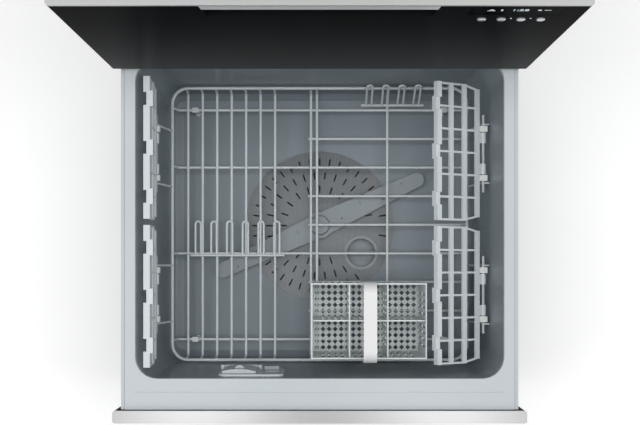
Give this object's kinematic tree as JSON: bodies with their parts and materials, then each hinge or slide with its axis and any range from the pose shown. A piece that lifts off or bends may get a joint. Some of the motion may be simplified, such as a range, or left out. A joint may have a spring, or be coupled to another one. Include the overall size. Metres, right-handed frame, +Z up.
{
  "type": "dishwasher drawer",
  "caption": "Two-drawer dishwasher, lower drawer open on telescopic runners, with wire base rack, folding cup racks, cutlery basket, lids and push buttons.",
  "frame": {"origin": "on the floor, under the middle of the closed appliance's footprint", "axes": "+Z up, +Y towards the back, +X to the right seen from the front; drawers open towards -Y"},
  "size_m": [0.598, 1.0855, 0.864],
  "materials": {
    "black_front": "satin black, smooth",
    "brushed_steel": "brushed along the width",
    "display_glass": "polished dark window",
    "button_silver": "silver, satin",
    "tub_grey": "moulded, fine grain",
    "galvanised_sheet": "zinc-coated sheet, spangled",
    "dark_plastic": "moulded, matt",
    "white_plastic": "moulded, satin",
    "runner_steel": "zinc-plated",
    "coated_wire": "nylon coated, smooth",
    "rack_plastic": "moulded, satin",
    "basket_plastic": "moulded, satin",
    "grey_plastic": "moulded, matt",
    "filter_steel": "perforated plate",
    "motor_grey": "cast, painted",
    "lid_plastic": "moulded, satin"
  },
  "bodies": {
    "cabinet": {"cabinet_shell": "galvanised_sheet", "base_tray": "galvanised_sheet", "toe_kick": "dark_plastic", "levelling_feet": "dark_plastic", "cross_rail": "galvanised_sheet", "lower_runner_outer": "runner_steel", "upper_runner_outer": "runner_steel", "lid_drives": "white_plastic", "inlet_valve": "white_plastic", "drain_spigot": "dark_plastic", "control_module": "dark_plastic"},
    "lower_drawer": {"lower_front": "black_front", "lower_steel_cap": "brushed_steel", "lower_display": "display_glass", "lower_tub": "tub_grey", "lower_wash_motor": "motor_grey", "lower_filter_plate": "filter_steel", "lower_runner_inner": "runner_steel", "dispenser_body": "tub_grey"},
    "lower_runner_middle": {"lower_runner_middle": "runner_steel"},
    "lower_lid": {"lower_lid": "lid_plastic"},
    "lower_spray_arm": {"lower_spray_arm": "grey_plastic"},
    "lower_button_1": {"lower_button_1": "button_silver"},
    "lower_button_2": {"lower_button_2": "button_silver"},
    "lower_button_3": {"lower_button_3": "button_silver"},
    "lower_button_4": {"lower_button_4": "button_silver"},
    "upper_drawer": {"upper_front": "black_front", "upper_steel_cap": "brushed_steel", "upper_display": "display_glass", "upper_tub": "tub_grey", "upper_wash_motor": "motor_grey", "upper_filter_plate": "filter_steel", "upper_runner_inner": "runner_steel", "upper_dispenser": "tub_grey", "upper_rack_frame": "coated_wire", "upper_rack_grid": "coated_wire"},
    "upper_runner_middle": {"upper_runner_middle": "runner_steel"},
    "upper_lid": {"upper_lid": "lid_plastic"},
    "upper_spray_arm": {"upper_spray_arm": "grey_plastic"},
    "upper_button_1": {"upper_button_1": "button_silver"},
    "upper_button_2": {"upper_button_2": "button_silver"},
    "upper_button_3": {"upper_button_3": "button_silver"},
    "upper_button_4": {"upper_button_4": "button_silver"},
    "dispenser_door": {"dispenser_door": "tub_grey"},
    "upper_dispenser_door": {"upper_dispenser_door": "tub_grey"},
    "rinse_cap": {"rinse_cap": "grey_plastic"},
    "drain_filter": {"lower_drain_filter": "grey_plastic"},
    "base_rack": {"base_rack_frame": "coated_wire", "base_rack_grid": "coated_wire", "cup_rack_clips": "white_plastic"},
    "cutlery_basket": {"cutlery_basket": "basket_plastic", "basket_handle": "white_plastic"},
    "cup_rack_left_rear": {"cup_rack_left_rear": "rack_plastic"},
    "cup_rack_left_front": {"cup_rack_left_front": "rack_plastic"},
    "upper_cup_racks_left": {"upper_cup_racks_left": "rack_plastic"},
    "cup_rack_right_rear": {"cup_rack_right_rear": "rack_plastic"},
    "cup_rack_right_front": {"cup_rack_right_front": "rack_plastic"},
    "upper_cup_racks_right": {"upper_cup_racks_right": "rack_plastic"},
    "tine_row_left": {"tine_row_left": "coated_wire"},
    "tine_row_right": {"tine_row_right": "coated_wire"}
  },
  "joints": [
    {"name": "lower_drawer_slide", "type": "slide", "parent": "cabinet", "child": "lower_drawer", "axis": [0, -1, 0], "range_m": [-0.51, 0]},
    {"name": "lower_runner_slide", "type": "slide", "parent": "cabinet", "child": "lower_runner_middle", "axis": [0, -1, 0], "range_m": [-0.255, 0]},
    {"name": "lower_lid_lower", "type": "slide", "parent": "cabinet", "child": "lower_lid", "axis": [0, 0, 1], "range_m": [-0.005, 0]},
    {"name": "lower_spray_arm_turn", "type": "hinge", "parent": "lower_drawer", "child": "lower_spray_arm", "pos_m": [0, -0.50125, 0.212], "axis": [0, 0, 1], "continuous": true},
    {"name": "lower_button_1_press", "type": "slide", "parent": "lower_drawer", "child": "lower_button_1", "axis": [0, 1, 0], "range_m": [0, 0.0015], "stiffness_N_per_m": 400},
    {"name": "lower_button_2_press", "type": "slide", "parent": "lower_drawer", "child": "lower_button_2", "axis": [0, 1, 0], "range_m": [0, 0.0015], "stiffness_N_per_m": 400},
    {"name": "lower_button_3_press", "type": "slide", "parent": "lower_drawer", "child": "lower_button_3", "axis": [0, 1, 0], "range_m": [0, 0.0015], "stiffness_N_per_m": 400},
    {"name": "lower_button_4_press", "type": "slide", "parent": "lower_drawer", "child": "lower_button_4", "axis": [0, 1, 0], "range_m": [0, 0.0015], "stiffness_N_per_m": 400},
    {"name": "upper_drawer_slide", "type": "slide", "parent": "cabinet", "child": "upper_drawer", "axis": [0, 1, 0], "range_m": [-0.51, 0]},
    {"name": "upper_runner_slide", "type": "slide", "parent": "cabinet", "child": "upper_runner_middle", "axis": [0, 1, 0], "range_m": [-0.255, 0]},
    {"name": "upper_lid_lower", "type": "slide", "parent": "cabinet", "child": "upper_lid", "axis": [0, 0, 1], "range_m": [-0.005, 0]},
    {"name": "upper_spray_arm_turn", "type": "hinge", "parent": "upper_drawer", "child": "upper_spray_arm", "pos_m": [0, 0.00875, 0.596], "axis": [0, 0, 1], "continuous": true},
    {"name": "upper_button_1_press", "type": "slide", "parent": "upper_drawer", "child": "upper_button_1", "axis": [0, 1, 0], "range_m": [0, 0.0015], "stiffness_N_per_m": 400},
    {"name": "upper_button_2_press", "type": "slide", "parent": "upper_drawer", "child": "upper_button_2", "axis": [0, 1, 0], "range_m": [0, 0.0015], "stiffness_N_per_m": 400},
    {"name": "upper_button_3_press", "type": "slide", "parent": "upper_drawer", "child": "upper_button_3", "axis": [0, 1, 0], "range_m": [0, 0.0015], "stiffness_N_per_m": 400},
    {"name": "upper_button_4_press", "type": "slide", "parent": "upper_drawer", "child": "upper_button_4", "axis": [0, 1, 0], "range_m": [0, 0.0015], "stiffness_N_per_m": 400},
    {"name": "dispenser_door_hinge", "type": "hinge", "parent": "lower_drawer", "child": "dispenser_door", "pos_m": [-0.12, -0.72399, 0.37221], "axis": [-1, 0, 0], "range_deg": [0, 88]},
    {"name": "upper_dispenser_door_hinge", "type": "hinge", "parent": "upper_drawer", "child": "upper_dispenser_door", "pos_m": [-0.12, -0.21399, 0.75621], "axis": [-1, 0, 0], "range_deg": [0, 88]},
    {"name": "rinse_cap_turn", "type": "hinge", "parent": "lower_drawer", "child": "rinse_cap", "pos_m": [-0.072, -0.73169, 0.403], "axis": [0, 0.9996, 0.0292], "range_deg": [0, 90]},
    {"name": "drain_filter_turn", "type": "hinge", "parent": "lower_drawer", "child": "drain_filter", "pos_m": [0.07, -0.54725, 0.197], "axis": [0, 0, 1], "range_deg": [0, 90]},
    {"name": "base_rack_lift", "type": "slide", "parent": "lower_drawer", "child": "base_rack", "axis": [0, 0, 1], "range_m": [0, 0.09]},
    {"name": "cutlery_basket_lift", "type": "slide", "parent": "base_rack", "child": "cutlery_basket", "axis": [0, 0, 1], "range_m": [0, 0.3]},
    {"name": "cup_rack_left_rear_fold", "type": "hinge", "parent": "base_rack", "child": "cup_rack_left_rear", "pos_m": [-0.254, -0.39518, 0.356], "axis": [0, -1, 0], "range_deg": [-60, 0]},
    {"name": "cup_rack_left_front_fold", "type": "hinge", "parent": "base_rack", "child": "cup_rack_left_front", "pos_m": [-0.254, -0.61418, 0.356], "axis": [0, -1, 0], "range_deg": [-60, 0]},
    {"name": "upper_cup_racks_left_fold", "type": "hinge", "parent": "upper_drawer", "child": "upper_cup_racks_left", "pos_m": [-0.254, 0.00532, 0.74], "axis": [0, -1, 0], "range_deg": [-60, 0]},
    {"name": "cup_rack_right_rear_fold", "type": "hinge", "parent": "base_rack", "child": "cup_rack_right_rear", "pos_m": [0.254, -0.39518, 0.356], "axis": [0, 1, 0], "range_deg": [0, 60]},
    {"name": "cup_rack_right_front_fold", "type": "hinge", "parent": "base_rack", "child": "cup_rack_right_front", "pos_m": [0.254, -0.61418, 0.356], "axis": [0, 1, 0], "range_deg": [0, 60]},
    {"name": "upper_cup_racks_right_fold", "type": "hinge", "parent": "upper_drawer", "child": "upper_cup_racks_right", "pos_m": [0.254, 0.00532, 0.74], "axis": [0, 1, 0], "range_deg": [0, 60]},
    {"name": "tine_row_left_fold", "type": "hinge", "parent": "base_rack", "child": "tine_row_left", "pos_m": [-0.136, -0.552, 0.2473], "axis": [1, 0, 0], "range_deg": [0, 90]},
    {"name": "tine_row_right_fold", "type": "hinge", "parent": "base_rack", "child": "tine_row_right", "pos_m": [0.12, -0.304, 0.2473], "axis": [1, 0, 0], "range_deg": [0, 114]}
  ],
  "couplings": [
    {"joint": "lower_runner_slide", "follows": "lower_drawer_slide", "ratio": 0.5},
    {"joint": "upper_runner_slide", "follows": "upper_drawer_slide", "ratio": 0.5}
  ]
}
